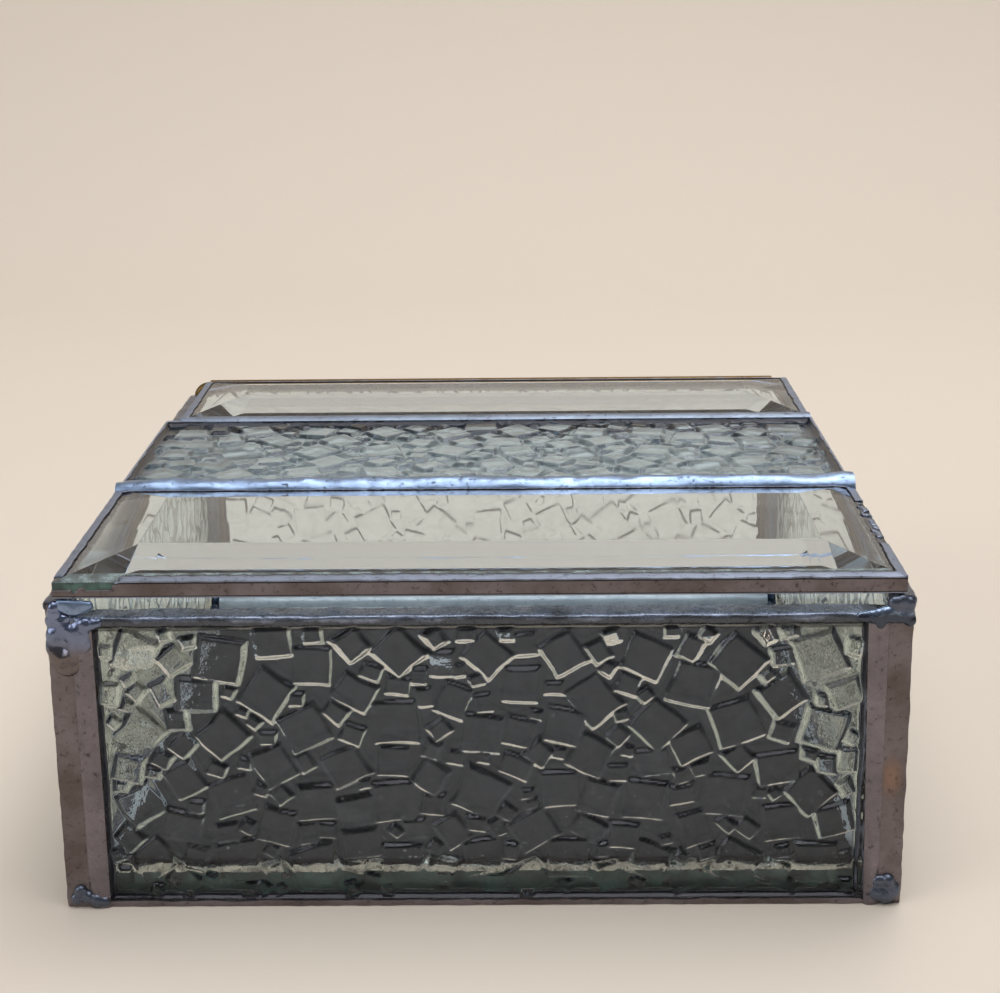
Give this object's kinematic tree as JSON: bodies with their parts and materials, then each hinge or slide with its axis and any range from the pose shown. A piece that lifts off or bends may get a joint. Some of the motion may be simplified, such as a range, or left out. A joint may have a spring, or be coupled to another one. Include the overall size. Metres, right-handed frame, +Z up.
{
  "type": "glass keepsake box",
  "caption": "Low rectangular keepsake box of textured clear glass panels in copper foil and solder, with a bevelled glass lid hinged at the rear.",
  "frame": {"origin": "middle of the footprint on the surface the box stands on", "axes": "+Z up, the front wall with the finger gap faces -Y, the hinge runs along X at the rear (+Y)"},
  "size_m": [0.157, 0.1504, 0.0677],
  "materials": {
    "wall_glass": "clear rolled glass with a faint green tint and a raised pattern of overlapping cubes",
    "base_glass": "clear plate glass with green edges",
    "bevel_glass": "clear polished plate glass with bevelled margins",
    "copper_foil": "aged copper foil, brown to mauve grey, partly tinned",
    "solder": "hand-run lead solder with a dark blue grey tarnish and bright crests",
    "hinge_brass": "tarnished brass tube and rod",
    "liner_felt": "charcoal felt"
  },
  "bodies": {
    "box": {"front_panel": "wall_glass", "rear_panel": "wall_glass", "left_panel": "wall_glass", "right_panel": "wall_glass", "base_plate": "base_glass", "front_foil": "copper_foil", "rear_foil": "copper_foil", "left_foil": "copper_foil", "right_foil": "copper_foil", "base_foil": "copper_foil", "corner_seam_front_left": "solder", "corner_seam_front_right": "solder", "corner_seam_rear_left": "solder", "corner_seam_rear_right": "solder", "base_seam_front": "solder", "base_seam_rear": "solder", "base_seam_left": "solder", "base_seam_right": "solder", "rim_bead_front": "solder", "rim_bead_rear": "solder", "rim_bead_left": "solder", "rim_bead_right": "solder", "solder_blob": "solder", "base_liner": "liner_felt", "hinge_rod": "hinge_brass", "hinge_solder_left": "solder", "hinge_solder_right": "solder"},
    "lid": {"lid_front_bevel": "bevel_glass", "lid_centre_panel": "wall_glass", "lid_rear_bevel": "bevel_glass", "lid_front_foil": "copper_foil", "lid_centre_foil": "copper_foil", "lid_rear_foil": "copper_foil", "lid_front_seam": "solder", "lid_rear_seam": "solder", "hinge_tube": "hinge_brass", "hinge_tube_seam": "solder"}
  },
  "joints": [
    {"name": "lid_hinge", "type": "hinge", "parent": "box", "child": "lid", "pos_m": [0, 0.07333, 0.0636], "axis": [-1, 0, 0], "range_deg": [0, 110]}
  ]
}
